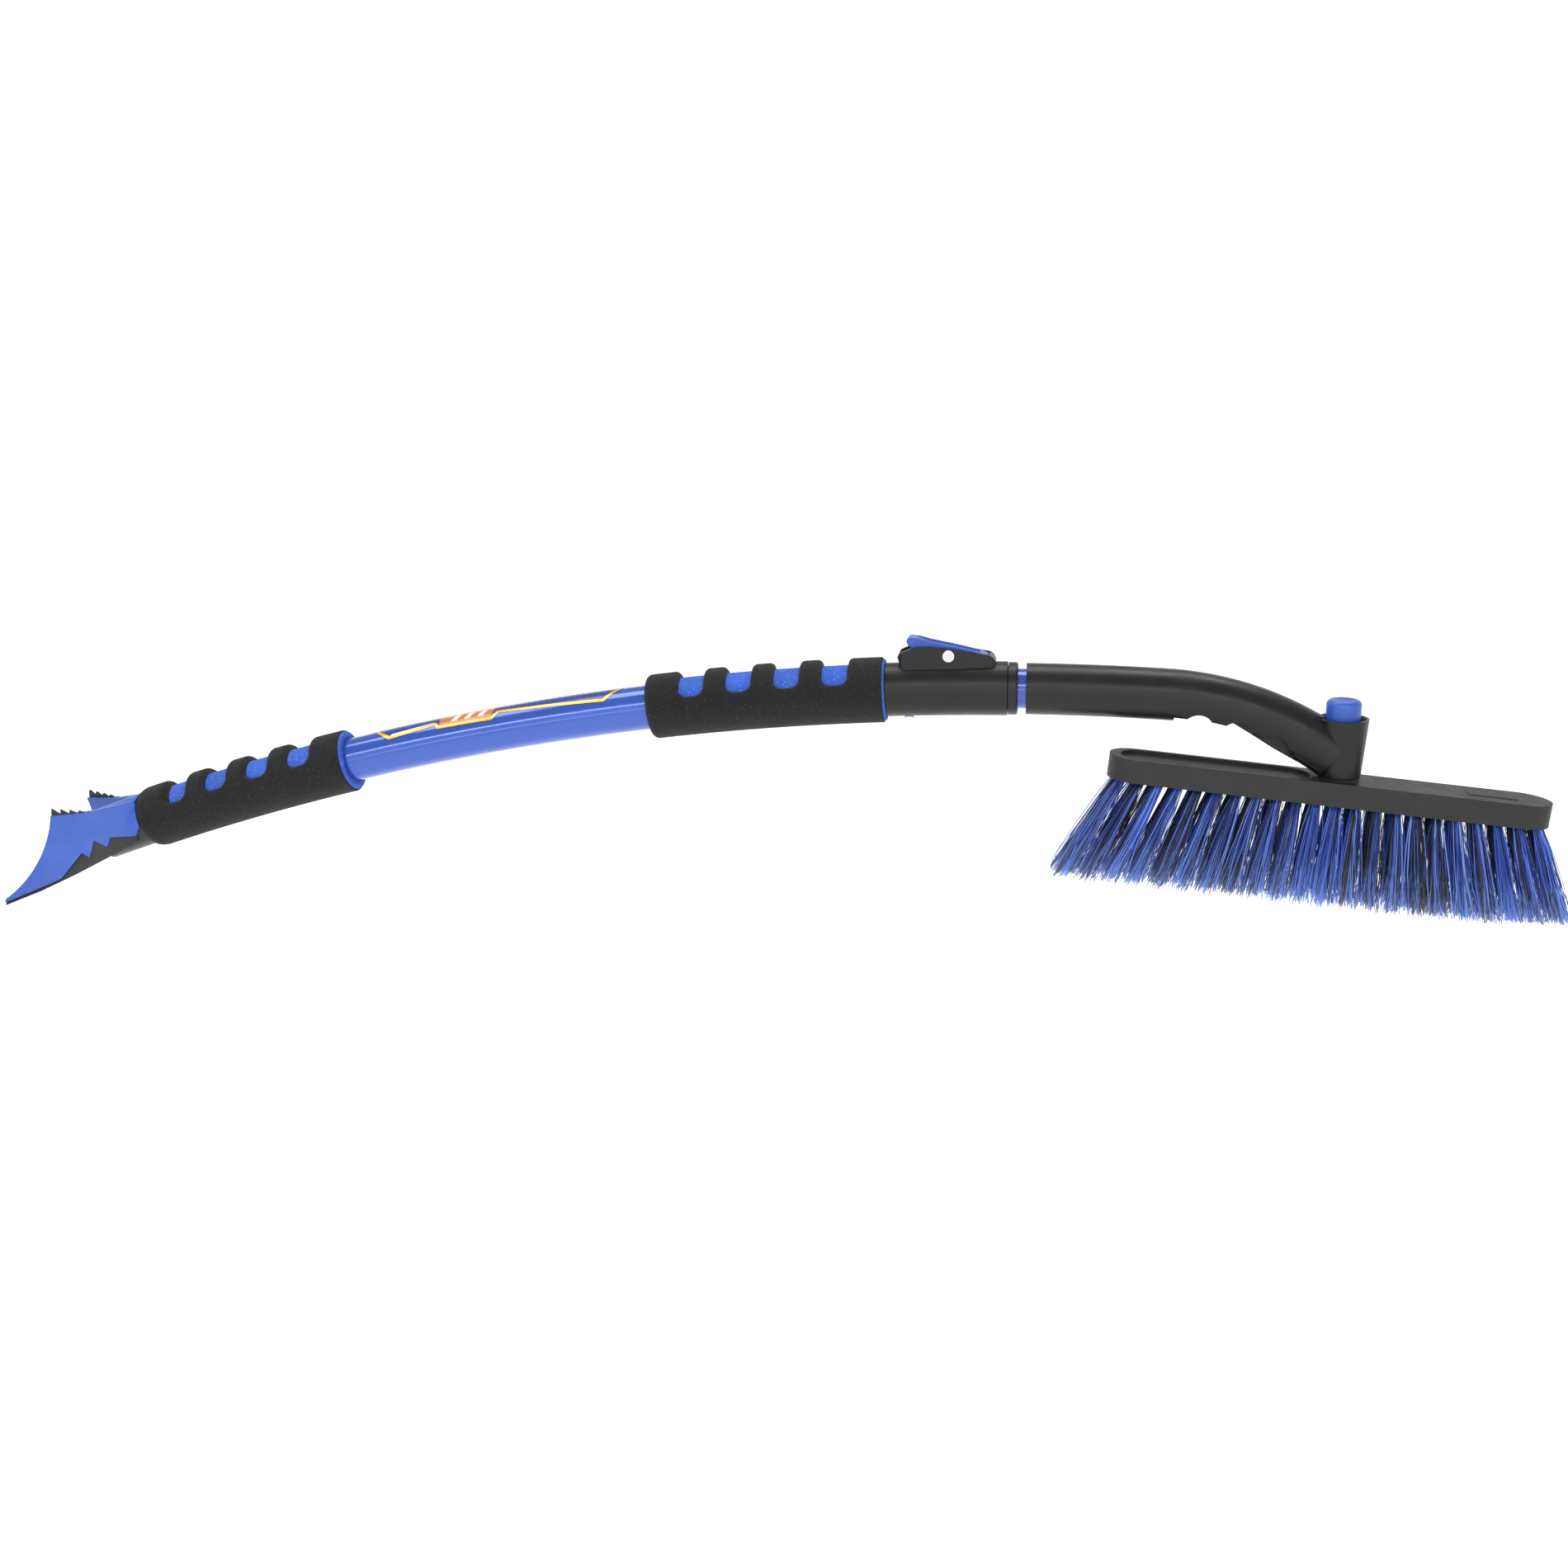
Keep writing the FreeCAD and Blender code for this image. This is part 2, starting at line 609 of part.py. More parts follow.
# ---- brush head ----------------------------------------------------------------
SPINDLE_TOP = CUP_FLOOR + 4.4
SPINDLE_DEPTH = 6.6
SPINDLE_FLANGE_R = 8.0
RING_R = 8.6
WASHER_THICK = 1.0
WASHER_R = 6.5
SCREW_HEAD = 2.4


def head_spindle():
    """Pivot post with a flange buried in the block."""
    post = rod(Vector(0, 0, -SPINDLE_DEPTH), Vector(0, 0, 1), SPINDLE_R, SPINDLE_TOP + SPINDLE_DEPTH)
    flange = rod(Vector(0, 0, -SPINDLE_DEPTH), Vector(0, 0, 1), SPINDLE_FLANGE_R, 2.5)
    key = box((3.6, 10.0), (-10.0, 10.0), (CUP_FLOOR + GAP, 40.0))
    shape = post.fuse(flange).cut(key)
    return placed(shape.cut(screw_shank()), at_spindle())


def screw_shank():
    return rod(Vector(0, 0, 2.0), Vector(0, 0, 1), 2.0, SPINDLE_TOP - 2.0 + WASHER_THICK)


def index_ring():
    """Splined ring, keyed on the spindle, that the lock works on."""
    low = CUP_FLOOR + GAP
    ring = rod(Vector(0, 0, low), Vector(0, 0, 1), RING_R, SPINDLE_TOP - low)
    spline_count = 12
    for index in range(spline_count):
        groove = rod(Vector(RING_R, 0, low - 1), Vector(0, 0, 1), 0.9, 20)
        groove.rotate(Vector(0, 0, 0), Vector(0, 0, 1), index * 360 / spline_count)
        ring = ring.cut(groove)
    ring = placed(ring, at_spindle())
    return ring.cut(head_spindle()).cut(placed(screw_shank(), at_spindle()))


def spindle_washer():
    washer = rod(Vector(0, 0, SPINDLE_TOP), Vector(0, 0, 1), WASHER_R, WASHER_THICK)
    return placed(washer.cut(screw_shank()), at_spindle())


def spindle_screw():
    base = SPINDLE_TOP + WASHER_THICK
    head = rod(Vector(0, 0, base), Vector(0, 0, 1), 3.6, SCREW_HEAD)
    recess = box((-2.4, 2.4), (-0.5, 0.5), (base + 1.2, base + 9))
    cross = recess.copy()
    cross.rotate(Vector(0, 0, 0), Vector(0, 0, 1), 90)
    return placed(screw_shank().fuse(head).cut(recess).cut(cross), at_spindle())


BUTTON_R = 9.3
BUTTON_TOP = 43.6
BUTTON_WALL = 1.6
BUTTON_FOOT = CUP_FLOOR + 8.5
BUTTON_SPRING_BASE = SPINDLE_TOP + WASHER_THICK


def release_button():
    """Round push button, hollow below, with a dished top."""
    axis = Vector(0, 0, 1)
    shape = rod(Vector(0, 0, BUTTON_FOOT), axis, BUTTON_R, BUTTON_TOP - BUTTON_FOOT)
    top = [edge for edge in shape.Edges if edge.BoundBox.ZMin > BUTTON_TOP - 0.1]
    shape = shape.makeFillet(2.6, top)
    hollow_top = BUTTON_TOP - 5.0
    hollow = rod(Vector(0, 0, BUTTON_FOOT - 1), axis, BUTTON_R - BUTTON_WALL, hollow_top - BUTTON_FOOT + 1)
    dish_r = 22.0
    dish = Part.makeSphere(dish_r, Vector(0, 0, BUTTON_TOP + dish_r - 1.1))
    return placed(shape.cut(hollow).cut(dish), at_spindle())


def button_spring():
    height = BUTTON_TOP - 5.0 - BUTTON_SPRING_BASE
    spring = coil(5.4, 0.6, height, 5)
    spring.translate(Vector(0, 0, BUTTON_SPRING_BASE))
    return placed(spring, at_spindle())


def at_block():
    """Frame on the block's top face at the pivot, local X along the block."""
    turn = Rotation(ACROSS, BLOCK_TILT)
    return Placement(Vector(SPINDLE_X, 0, BLOCK_TOP_AT_SPINDLE), turn)


def block_ends():
    """Ends of the block in its own frame."""
    scale = 1 / math.cos(math.radians(BLOCK_TILT))
    return (BLOCK_LEFT - SPINDLE_X) * scale, (BLOCK_RIGHT - SPINDLE_X) * scale


def stadium(low, high, half, z, height):
    """Bar with round ends, standing on z."""
    bar = box((low + half, high - half), (-half, half), (z, z + height))
    for centre in (low + half, high - half):
        bar = bar.fuse(rod(Vector(centre, 0, z), Vector(0, 0, 1), half, height))
    return bar.removeSplitter()


def brush_block():
    low, high = block_ends()
    half = BLOCK_WIDTH / 2
    block = stadium(low, high, half, -BLOCK_THICK, BLOCK_THICK)
    scoop = stadium(low + 6, -CUP_BASE_R - 4, half - 3, -2.2, 10)
    block = placed(block.cut(scoop).fuse(block_pad()), at_block())
    seat = rod(Vector(0, 0, -6), Vector(0, 0, 1), CUP_BASE_R - 0.5, 6 + CUP_BASE - GAP)
    block = block.fuse(placed(seat, at_spindle()))
    block = block.cut(head_spindle())
    for y in TUFT_ROWS.values():
        for index in range(TUFTS_PER_ROW):
            block = block.cut(tuft_root(index, y))
    return block


def block_pad():
    length, width, rise = BLOCK_PAD
    ends = (BLOCK_PAD_CENTRE - length / 2, BLOCK_PAD_CENTRE + length / 2)
    return box(ends, (-width / 2, width / 2), (-1.0, rise))


ROOT_R = 2.3
ROOT_DEPTH = 5.0


def tuft_place(index):
    """Distance along the block, and outward lean, of one tuft."""
    low, high = block_ends()
    margin = 9.5
    pitch = (high - low - 2 * margin) / (TUFTS_PER_ROW - 1)
    x = low + margin + index * pitch
    lean = TUFT_SPLAY * (2 * index / (TUFTS_PER_ROW - 1) - 1)
    return x, lean


def tuft_root(index, y):
    x, _ = tuft_place(index)
    hole = rod(Vector(x, y, -BLOCK_THICK), Vector(0, 0, 1), ROOT_R, ROOT_DEPTH)
    return placed(hole, at_block())


def tuft(index, y):
    """One tuft: a slanted cone that widens and leans towards the nearer end of the block."""
    x, lean = tuft_place(index)
    reach = 75.0
    tip_r = 5.3
    down = Vector(0, 0, -1)
    tip_x = x + reach * math.tan(math.radians(lean))
    root = Part.makeCircle(ROOT_R, Vector(x, y, -BLOCK_THICK), down)
    tip = Part.makeCircle(tip_r, Vector(tip_x, y, -BLOCK_THICK - reach), down)
    cone = Part.makeLoft([Part.Wire(root), Part.Wire(tip)], True, True)
    return placed(cone, at_block()).cut(below_trim()).fuse(tuft_root(index, y))


def below_trim():
    """Everything below the plane that the bristle tips are cut to."""
    slab = box((-600, 200), (-100, 100), (-200, 0))
    return placed(slab, Placement(Vector(HALF_LENGTH, 0, 0), Rotation(ACROSS, TRIM_TILT)))


def tuft_row(y):
    return Part.makeCompound([tuft(index, y).removeSplitter() for index in range(TUFTS_PER_ROW)])


NODES = {
    "outer_tube": outer_tube,
    "inner_tube": inner_tube,
    "inner_tube_bush": inner_tube_bush,
    "tube_decal": tube_decal,
    "lower_grip_core": lambda: grip_core(LOWER_GRIP_START),
    "lower_grip_cover": lambda: grip_cover(LOWER_GRIP_START),
    "upper_grip_core": lambda: grip_core(UPPER_GRIP_START),
    "upper_grip_cover": lambda: grip_cover(UPPER_GRIP_START),
    "scraper_body": scraper_body,
    "scraper_cover": scraper_cover,
    "scraper_pin": scraper_pin,
    "lock_collar": lock_collar,
    "collar_end_ring": collar_end_ring,
    "collar_screw": collar_screw,
    "lock_lever": lock_lever,
    "lever_pin": lever_pin,
    "lever_spring": lever_spring,
    "latch_pin": latch_pin,
    "brush_arm": brush_arm,
    "arm_pin": arm_pin,
    "head_spindle": head_spindle,
    "index_ring": index_ring,
    "spindle_washer": spindle_washer,
    "spindle_screw": spindle_screw,
    "release_button": release_button,
    "button_spring": button_spring,
    "brush_block": brush_block,
}


def main():
    os.makedirs("parts", exist_ok=True)
    shapes = {name: build() for name, build in NODES.items()}
    shapes.update({name: tuft_row(y) for name, y in TUFT_ROWS.items()})
    for name, shape in shapes.items():
        shape.exportStep(f"parts/{name}.step")
        bounds = shape.BoundBox
        print(f"{name:18} solids {len(shape.Solids):3} valid {shape.isValid()} volume {shape.Volume:10.1f}"
              f" X {bounds.XMin:7.1f} {bounds.XMax:7.1f} Z {bounds.ZMin:6.2f} {bounds.ZMax:6.2f}")


main()
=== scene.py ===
"""Looks for the telescoping snow brush with an ice scraper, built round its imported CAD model.

Everything is in metres, in the CAD's frame: +X runs from the scraper to the brush, -Y is the
near side and the surface the tool rests on is Z = 0. "Station" is the length along the handle's
arc from its apex, and "turn" is the angle round the handle from its top, positive to +Y.
"""

import json
import math
import random

import bmesh
import bpy
from mathutils import Matrix, Vector


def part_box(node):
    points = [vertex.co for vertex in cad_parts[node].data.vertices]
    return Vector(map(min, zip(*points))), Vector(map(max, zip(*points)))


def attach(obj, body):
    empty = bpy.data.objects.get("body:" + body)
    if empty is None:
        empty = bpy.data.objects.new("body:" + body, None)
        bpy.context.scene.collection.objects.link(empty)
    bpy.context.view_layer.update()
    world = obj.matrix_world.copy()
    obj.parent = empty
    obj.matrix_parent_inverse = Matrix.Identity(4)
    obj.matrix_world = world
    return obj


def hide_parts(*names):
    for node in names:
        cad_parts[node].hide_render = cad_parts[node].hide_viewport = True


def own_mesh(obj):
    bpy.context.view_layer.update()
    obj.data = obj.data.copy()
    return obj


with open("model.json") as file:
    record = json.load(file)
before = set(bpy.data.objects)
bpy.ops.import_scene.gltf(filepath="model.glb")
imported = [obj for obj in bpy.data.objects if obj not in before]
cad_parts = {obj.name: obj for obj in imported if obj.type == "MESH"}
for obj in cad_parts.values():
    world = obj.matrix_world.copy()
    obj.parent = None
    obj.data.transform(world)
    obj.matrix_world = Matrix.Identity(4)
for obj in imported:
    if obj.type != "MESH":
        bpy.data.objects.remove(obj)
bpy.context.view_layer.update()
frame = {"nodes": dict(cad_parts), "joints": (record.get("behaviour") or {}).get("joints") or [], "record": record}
NODES = frame["nodes"]
MM = 0.001


# ---- the handle's arc ------------------------------------------------------------------
def joint_named(name):
    return next(joint for joint in frame["joints"] if joint["name"] == name)


def points_of(node):
    return [vertex.co for vertex in NODES[node].data.vertices]


def far_from_centre(point):
    return math.hypot(point.x - ARC_CENTRE.x, point.z - ARC_CENTRE.z)


def arc_radius():
    """Radius of the handle's centre line, from the outer tube's nearest and farthest points."""
    reach = [far_from_centre(point) for point in points_of("outer_tube")]
    return (min(reach) + max(reach)) / 2


ARC_CENTRE = Vector(joint_named("telescope")["pos_m"])
ARC_RADIUS = arc_radius()


def station_of(point):
    """Length along the centre line's arc from its apex."""
    return ARC_RADIUS * math.atan2(point.x - ARC_CENTRE.x, point.z - ARC_CENTRE.z)


def stations_of(node):
    """First and last station of a node."""
    found = [station_of(point) for point in points_of(node)]
    return min(found), max(found)


def radii_of(node):
    """Smallest and largest distance of a node's points from the handle's centre line."""
    found = [math.hypot(far_from_centre(point) - ARC_RADIUS, point.y) for point in points_of(node)]
    return min(found), max(found)


def arc_point(station, radius, turn):
    """Point at a station, at a radius and a turn round the centre line."""
    angle = station / ARC_RADIUS
    reach = ARC_RADIUS + radius * math.cos(turn)
    return Vector((
        ARC_CENTRE.x + reach * math.sin(angle),
        radius * math.sin(turn),
        ARC_CENTRE.z + reach * math.cos(angle),
    ))


# ---- meshes ----------------------------------------------------------------------------
def add_piece(name, points, faces, material, body, smooth=True):
    """A new mesh piece that rides on a body."""
    mesh = bpy.data.meshes.new(name)
    mesh.from_pydata(points, [], faces)
    mesh.validate()
    work = bmesh.new()
    work.from_mesh(mesh)
    bmesh.ops.recalc_face_normals(work, faces=work.faces)
    work.to_mesh(mesh)
    work.free()
    mesh.polygons.foreach_set("use_smooth", [smooth] * len(mesh.polygons))
    piece = bpy.data.objects.new(name, mesh)
    bpy.context.scene.collection.objects.link(piece)
    mesh.materials.append(material)
    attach(piece, body)
    return piece


def grid_faces(rows, columns, wrap_rows, wrap_columns):
    """Quads over a grid of points that are numbered row by row."""
    faces = []
    for row in range(rows if wrap_rows else rows - 1):
        for column in range(columns if wrap_columns else columns - 1):
            next_row = (row + 1) % rows
            next_column = (column + 1) % columns
            faces.append((
                row * columns + column,
                row * columns + next_column,
                next_row * columns + next_column,
                next_row * columns + column,
            ))
    return faces


FINER_AT_ENDS = 4


def spaced(low, high, step, ends):
    """Stations from low to high, closer together over a length at each end."""
    found = []
    place = low
    while place < high:
        found.append(place)
        near = min(place - low, high - place) < ends
        place += step / FINER_AT_ENDS if near else step
    return found + [high]


# ---- materials -------------------------------------------------------------------------
EDGE_SAMPLES = 6


class Shader:
    """Short way to write a material's nodes."""

    def __init__(self, name):
        self.material = bpy.data.materials.new(name)
        self.material.use_nodes = True
        self.nodes = self.material.node_tree.nodes
        self.links = self.material.node_tree.links
        self.surface = self.nodes["Principled BSDF"]
        self.place = self.nodes.new("ShaderNodeTexCoord").outputs["Object"]

    def link(self, start, end):
        self.links.new(start, end)

    def set(self, values):
        """Sets the shader's own sockets, by name."""
        for name, value in values.items():
            self.surface.inputs[name].default_value = value

    def noise(self, scale, detail=3.0, roughness=0.5, stretch=None):
        """Noise of this many cells a metre, drawn out along an axis where stretch is below 1."""
        node = self.nodes.new("ShaderNodeTexNoise")
        node.inputs["Scale"].default_value = scale
        node.inputs["Detail"].default_value = detail
        node.inputs["Roughness"].default_value = roughness
        self.link(self.stretched(stretch), node.inputs["Vector"])
        return node.outputs["Fac"]

    def cells(self, scale):
        """Distance from the middle of the nearest cell."""
        node = self.nodes.new("ShaderNodeTexVoronoi")
        node.inputs["Scale"].default_value = scale
        self.link(self.place, node.inputs["Vector"])
        return node.outputs["Distance"]

    def stretched(self, stretch):
        """The object's own coordinates, scaled along each axis."""
        if stretch is None:
            return self.place
        node = self.nodes.new("ShaderNodeMapping")
        node.inputs["Scale"].default_value = stretch
        self.link(self.place, node.inputs["Vector"])
        return node.outputs["Vector"]

    def ramp(self, value, stops):
        """Colour ramp from (position, colour) stops."""
        node = self.nodes.new("ShaderNodeValToRGB")
        ramp = node.color_ramp
        while len(ramp.elements) < len(stops):
            ramp.elements.new(0.5)
        for element, (position, colour) in zip(ramp.elements, stops):
            element.position = position
            element.color = (*colour, 1.0)
        self.link(value, node.inputs["Fac"])
        return node.outputs["Color"]

    def between(self, value, low, high, start=0.0, end=1.0):
        """Value mapped from low..high to start..end."""
        node = self.nodes.new("ShaderNodeMapRange")
        node.inputs["From Min"].default_value = low
        node.inputs["From Max"].default_value = high
        node.inputs["To Min"].default_value = start
        node.inputs["To Max"].default_value = end
        self.link(value, node.inputs["Value"])
        return node.outputs["Result"]

    def mix(self, factor, first, second):
        """Blend of two colours, each a tuple or an output socket."""
        node = self.nodes.new("ShaderNodeMix")
        node.data_type = "RGBA"
        self.link(factor, node.inputs["Factor"])
        colours = [socket for socket in node.inputs if socket.type == "RGBA"]
        for socket, value in zip(colours, (first, second)):
            if isinstance(value, tuple):
                socket.default_value = (*value, 1.0)
            else:
                self.link(value, socket)
        return next(socket for socket in node.outputs if socket.type == "RGBA")

    def bump(self, height, depth, normal=None):
        """Bump that stands this many metres high."""
        node = self.nodes.new("ShaderNodeBump")
        node.inputs["Strength"].default_value = 1.0
        node.inputs["Distance"].default_value = depth
        self.link(height, node.inputs["Height"])
        if normal is not None:
            self.link(normal, node.inputs["Normal"])
        return node.outputs["Normal"]

    def rounded(self, radius):
        """Normal with sharp edges softened."""
        node = self.nodes.new("ShaderNodeBevel")
        node.samples = EDGE_SAMPLES
        node.inputs["Radius"].default_value = radius
        return node.outputs["Normal"]

    def attribute(self, name):
        """Value stored on the mesh's points."""
        node = self.nodes.new("ShaderNodeAttribute")
        node.attribute_name = name
        return node.outputs["Fac"]

    def finish(self, colour, roughness, normal=None):
        """Joins the outputs to the shader and gives the material."""
        self.link(colour, self.surface.inputs["Base Color"])
        self.link(roughness, self.surface.inputs["Roughness"])
        if normal is not None:
            self.link(normal, self.surface.inputs["Normal"])
        return self.material


def shade(colour, factor):
    """A darker or lighter colour."""
    return tuple(min(1.0, channel * factor) for channel in colour)


def painted_metal(name, colour):
    """Gloss blue enamel with faint flake, orange peel and rubbed patches."""
    shader = Shader(name)
    flake = shader.noise(scale=2600.0, detail=1.0)
    worn = shader.noise(scale=55.0, detail=4.0, roughness=0.6, stretch=(0.35, 1.0, 1.0))
    base = shader.ramp(flake, [(0.3, shade(colour, 0.86)), (0.7, shade(colour, 1.12))])
    rough = shader.between(worn, 0.35, 0.7, start=0.13, end=0.24)
    peel = shader.bump(shader.noise(scale=420.0, detail=2.0), depth=0.03 * MM)
    shader.set({"Metallic": 0.25, "Coat Weight": 0.6, "Coat Roughness": 0.05})
    return shader.finish(base, rough, peel)


def moulded_plastic(name, colour, roughness, grain=0.04 * MM, shine=0.5):
    """Moulded plastic: fine spark-eroded grain, slow tone shifts and softened edges."""
    shader = Shader(name)
    slow = shader.noise(scale=38.0, detail=4.0, roughness=0.6)
    fine = shader.noise(scale=1500.0, detail=2.0)
    rubbed = shader.noise(scale=70.0, detail=5.0, roughness=0.65)
    base = shader.ramp(slow, [(0.3, shade(colour, 0.88)), (0.72, shade(colour, 1.14))])
    rough = shader.between(rubbed, 0.3, 0.7, start=roughness - 0.05, end=roughness + 0.08)
    normal = shader.bump(fine, grain, shader.rounded(radius=0.5 * MM))
    shader.set({"Specular IOR Level": shine})
    return shader.finish(base, rough, normal)


def foam(name, colour, speck, speck_size):
    """Closed-cell foam: tiny open cells on the skin and scattered pale specks."""
    shader = Shader(name)
    cell = shader.cells(scale=2100.0)
    pore = shader.noise(scale=900.0, detail=3.0, roughness=0.6)
    tone = shader.noise(scale=60.0, detail=4.0)
    base = shader.ramp(tone, [(0.3, shade(colour, 0.85)), (0.7, shade(colour, 1.15))])
    dots = shader.between(shader.cells(scale=520.0), speck_size, speck_size * 0.45)
    base = shader.mix(dots, base, speck)
    rough = shader.between(pore, 0.3, 0.7, start=0.82, end=0.95)
    normal = shader.bump(cell, 0.16 * MM, shader.bump(pore, 0.12 * MM))
    shader.set({"Sheen Weight": 0.04, "Sheen Roughness": 0.6, "Specular IOR Level": 0.3})
    return shader.finish(base, rough, normal)


def steel(name):
    """Polished steel with fine draw marks."""
    shader = Shader(name)
    brushed = shader.noise(scale=900.0, detail=2.0, stretch=(1.0, 1.0, 6.0))
    base = shader.ramp(brushed, [(0.3, (0.62, 0.62, 0.64)), (0.7, (0.82, 0.82, 0.83))])
    rough = shader.between(brushed, 0.3, 0.7, start=0.12, end=0.24)
    shader.set({"Metallic": 1.0})
    return shader.finish(base, rough, shader.rounded(radius=0.3 * MM))


def printed(name, colour, dark_grain, metallic=0.0):
    """Ink or foil on the decal's film, with a fine print grain."""
    shader = Shader(name)
    grain = shader.noise(scale=1800.0, detail=2.0)
    handled = shader.noise(scale=120.0, detail=3.0)
    base = shader.ramp(grain, [(0.35, dark_grain), (0.65, colour)])
    rough = shader.between(handled, 0.3, 0.7, start=0.2, end=0.32)
    shader.set({"Metallic": metallic, "Coat Weight": 0.4, "Coat Roughness": 0.08})
    return shader.finish(base, rough)


def bristle(name, colour, pale, tip_highlight_colour):
    """Plastic filament: each has its own random tone, whose palest end is a painted highlight, and painted
    highlight lightens it towards its tip.
    """
    shader = Shader(name)
    streak = shader.noise(scale=900.0, detail=2.0, stretch=(1.0, 1.0, 0.08))
    # random strand tones; the last stop, pale, is a painted highlight
    tones_and_highlight = [(0.1, shade(colour, 0.55)), (0.6, shade(colour, 1.1)), (0.95, pale)]
    body = shader.ramp(shader.attribute("tone"), tones_and_highlight)
    # painted highlight towards each filament's tip
    tip_highlight_share = shader.between(shader.attribute("along"), 0.55, 1.0, start=0.0, end=0.8)
    base = shader.mix(tip_highlight_share, body, tip_highlight_colour)
    rough = shader.between(streak, 0.3, 0.7, start=0.3, end=0.48)
    return shader.finish(base, rough)


ENAMEL_BLUE = (0.028, 0.088, 0.440)
MATERIALS = {
    "painted_tube": painted_metal("tube_enamel", ENAMEL_BLUE),
    "inner_tube_blue": painted_metal("inner_tube_enamel", ENAMEL_BLUE),
    "black_plastic": moulded_plastic("black_moulding", (0.008, 0.008, 0.009), 0.34, shine=0.34),
    "scraper_black": moulded_plastic("scraper_black_moulding", (0.014, 0.014, 0.015), 0.34, shine=0.4),
    "blue_plastic": moulded_plastic("blue_moulding", (0.026, 0.086, 0.430), 0.36, grain=0.02 * MM),
    "white_plastic": moulded_plastic("natural_acetal", (0.72, 0.72, 0.68), 0.34),
    "block_grey": moulded_plastic("block_moulding", (0.016, 0.016, 0.017), 0.50, 0.06 * MM, shine=0.34),
    "black_foam": foam("black_foam_skin", (0.0075, 0.0085, 0.0080), (0.09, 0.09, 0.09), 0.15),
    "blue_foam": foam("blue_foam_skin", (0.038, 0.112, 0.530), (0.12, 0.22, 0.70), 0.30),
    "steel": steel("polished_steel"),
    "gold": printed("gold_foil", (0.86, 0.50, 0.085), (0.76, 0.42, 0.06), metallic=0.35),
    "orange": printed("orange_ink", (0.56, 0.200, 0.012), (0.50, 0.170, 0.012)),
    "pale": printed("white_ink", (0.86, 0.86, 0.84), (0.78, 0.78, 0.76)),
    "navy": printed("navy_ink", (0.012, 0.035, 0.215), (0.009, 0.025, 0.16)),
    "ink": printed("dark_ink", (0.020, 0.022, 0.035), (0.014, 0.016, 0.028)),
    "bristle_blue": bristle(
        "blue_filament",
        colour=(0.028, 0.090, 0.540),
        # pale: painted highlight on the palest blue strands
        pale=(0.24, 0.40, 0.95),
        # painted highlight at the blue tips
        tip_highlight_colour=(0.20, 0.36, 0.88),
    ),
    "bristle_black": bristle(
        "black_filament",
        colour=(0.008, 0.008, 0.010),
        # pale: painted highlight on the palest black strands
        pale=(0.045, 0.045, 0.05),
        # painted highlight at the black tips
        tip_highlight_colour=(0.09, 0.09, 0.09),
    ),
}


def paint_cad_nodes():
    """Gives each CAD node that stays the material of its slot."""
    for row in frame["record"]["subparts"]:
        material = MATERIALS.get(row["material_slot"])
        if material:
            for slot in NODES[row["node"]].material_slots:
                slot.material = material


# ---- foam grips ------------------------------------------------------------------------
WINDOWS = 4                       # finger notches in each black cover
WINDOW_PITCH = 27.0 * MM
WINDOW_HALF = 7.4 * MM            # half of a window's length along the handle
WINDOW_TURN = math.radians(67)    # half of its width round the handle
WINDOW_CORNER = 5.4 * MM
WINDOW_WALL = 0.5 * MM            # how far in a window's side wall reaches its floor
FLOOR_BELOW_CORE = 0.7 * MM       # the cover dips under the core's skin inside a window
SHOULDER = 2.6 * MM               # rounding of the foam round a window
LOWER_END_ROUND = 7.0 * MM        # rounding of each grip's scraper end
UPPER_END_ROUND = 3.4 * MM
END_ROUND_SHARE = 0.86            # how much of the foam's wall that rounding takes
BRUSH_END_ROUND = (1.0 * MM, 0.9 * MM)
FLANGE_ROUND = 0.6 * MM
COVER_UNDERLAP = 1.0 * MM         # the cover's inner face lies inside the core
RING_POINTS = 176
COVER_STEP = 0.62 * MM            # between rings of points, except over the finer ends
COVER_FINE_END = 3.0 * MM
CORE_STEP = 3.0 * MM
CORE_FINE_END = 1.0 * MM
FLANGE_STEP = 0.4 * MM
FLANGE_GAP = 0.02 * MM            # the flange's first ring lies this far past the cover


def rounded_box(x, y, half_x, half_y, corner):
    """Signed distance to a rectangle with round corners, negative inside it."""
    across = abs(x) - half_x + corner
    along = abs(y) - half_y + corner
    outside = math.hypot(max(across, 0.0), max(along, 0.0))
    return outside + min(max(across, along), 0.0) - corner


def quarter_round(distance, length, height):
    """Drop below the full radius at this distance from an edge with an elliptical rounding."""
    if distance >= length:
        return 0.0
    share = 1 - distance / length
    return height * (1 - math.sqrt(1 - min(share, 1.0) ** 2))


def cover_radius(station, turn, low, high, left_round):
    """Outer radius of the black foam, dipping under its core inside the windows."""
    full = GRIP_RADIUS
    radius = full - quarter_round(station - low, left_round, END_ROUND_SHARE * (full - CORE_RADIUS))
    radius -= quarter_round(high - station, *BRUSH_END_ROUND)
    middle = (low + high) / 2
    for index in range(WINDOWS):
        centre = middle + (index - (WINDOWS - 1) / 2) * WINDOW_PITCH
        gap = rounded_box(station - centre, turn * full, WINDOW_HALF, WINDOW_TURN * full, WINDOW_CORNER)
        if gap < 0:
            floor = CORE_RADIUS - FLOOR_BELOW_CORE
            share = min(1.0, -gap / WINDOW_WALL)
            return floor + (full - SHOULDER - floor) * (1 - share)
        if gap < SHOULDER:
            radius = min(radius, full - quarter_round(gap, SHOULDER, SHOULDER))
    return radius


def core_radius(station, high, flange_start):
    """Outer radius of the blue foam: plain, with a rounded flange at its bare end."""
    if station < flange_start:
        return CORE_RADIUS
    return FLANGE_RADIUS - quarter_round(high - station, FLANGE_ROUND, FLANGE_ROUND)


